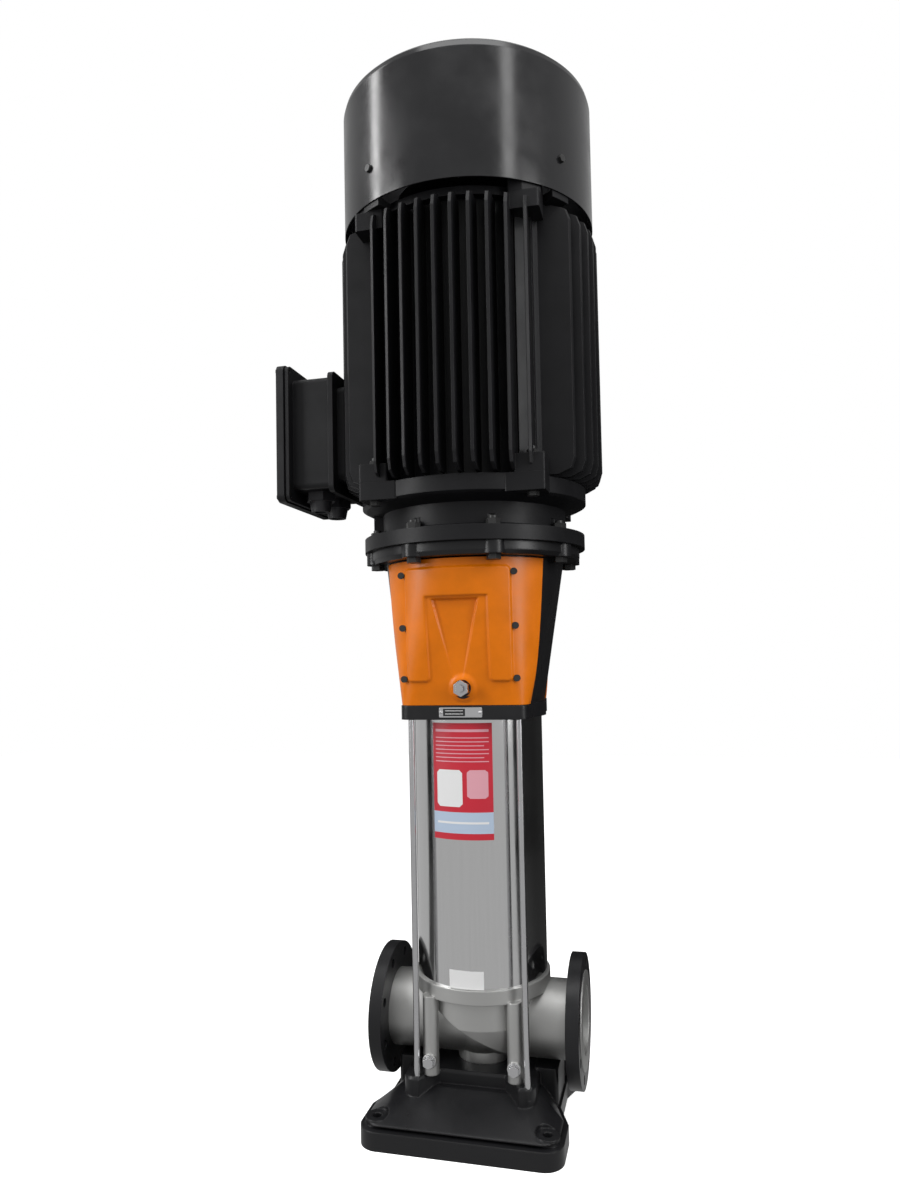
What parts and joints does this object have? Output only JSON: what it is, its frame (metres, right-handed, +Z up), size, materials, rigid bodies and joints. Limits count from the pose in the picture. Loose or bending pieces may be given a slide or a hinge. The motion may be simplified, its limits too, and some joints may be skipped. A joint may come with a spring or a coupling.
{
  "type": "vertical multistage pump",
  "caption": "Vertical in-line multistage centrifugal pump with a flange motor, motor stool, orange coupling guards and flanged side ports.",
  "frame": {"origin": "on the pump axis, on the ground plane under the base plate", "axes": "+Z up along the shaft, +X towards the outlet port, -Y towards the vent plug and the front guard"},
  "size_m": [0.6589, 0.5278, 2.031],
  "materials": {
    "base_black": "satin",
    "stool_black": "satin",
    "motor_black": "satin",
    "cowl_black": "semi-gloss",
    "flange_black": "satin",
    "box_black": "satin",
    "guard_orange": "gloss",
    "sleeve_steel": "polished",
    "cast_stainless": "blasted",
    "bolt_steel": "bright",
    "screw_black": "satin",
    "stage_steel": "satin",
    "shaft_steel": "ground",
    "coupling_iron": "satin",
    "seal_rubber": "matte",
    "seal_carbide": "satin",
    "winding_copper": "varnished",
    "core_steel": "satin",
    "ring_aluminium": "satin",
    "plate_aluminium": "satin",
    "fan_plastic": "matte",
    "gland_plastic": "matte",
    "board_plastic": "matte"
  },
  "bodies": {
    "pump": {"base_plate": "base_black", "inlet_outlet_casting": "cast_stainless", "inlet_flange_ring": "flange_black", "outlet_flange_ring": "flange_black", "leg_bolts": "bolt_steel", "outer_sleeve": "sleeve_steel", "sleeve_seals": "seal_rubber", "tie_rods": "bolt_steel", "tie_rod_nuts": "bolt_steel", "stage_chamber_1": "stage_steel", "stage_chamber_2": "stage_steel", "stage_chamber_3": "stage_steel", "discharge_guide": "stage_steel", "stack_straps": "stage_steel", "lower_bearing_holder": "stage_steel", "lower_bearing_bush": "seal_carbide", "motor_stool": "stool_black", "coupling_guard_front": "guard_orange", "coupling_guard_rear": "guard_orange", "guard_screws": "screw_black", "vent_plug": "bolt_steel", "blank_plate": "plate_aluminium", "seal_cover": "stage_steel", "seal_stationary_ring": "seal_carbide", "flange_bolts": "screw_black", "flange_nuts": "screw_black", "drive_end_shield": "motor_black", "motor_frame": "motor_black", "shield_bolts_lower": "screw_black", "shield_bolts_upper": "screw_black", "fan_end_shield": "motor_black", "drive_end_outer_race": "shaft_steel", "fan_end_outer_race": "shaft_steel", "stator_core": "core_steel", "stator_windings": "winding_copper", "fan_cowl": "cowl_black", "cowl_screws": "screw_black", "terminal_box_body": "box_black", "terminal_box_gasket": "seal_rubber", "terminal_box_lid": "box_black", "lid_screws": "screw_black", "cable_glands": "gland_plastic", "terminal_board": "board_plastic"},
    "rotor": {"pump_shaft": "shaft_steel", "impeller_1": "stage_steel", "impeller_2": "stage_steel", "impeller_3": "stage_steel", "impeller_spacers": "shaft_steel", "impeller_nut": "shaft_steel", "seal_rotating_ring": "seal_carbide", "coupling_half_front": "coupling_iron", "coupling_half_rear": "coupling_iron", "coupling_screws": "bolt_steel", "motor_shaft": "shaft_steel", "rotor_core": "core_steel", "rotor_end_rings": "ring_aluminium", "drive_end_inner_race": "shaft_steel", "fan_end_inner_race": "shaft_steel", "fan": "fan_plastic"},
    "bleed": {"bleed_screw": "bolt_steel"}
  },
  "joints": [
    {"name": "rotor_spin", "type": "hinge", "parent": "pump", "child": "rotor", "pos_m": [0, 0, 0.9], "axis": [0, 0, 1], "continuous": true},
    {"name": "bleed_turn", "type": "hinge", "parent": "pump", "child": "bleed", "pos_m": [0.004, -0.18, 0.838], "axis": [0, -1, 0], "range_deg": [0, 540]}
  ]
}
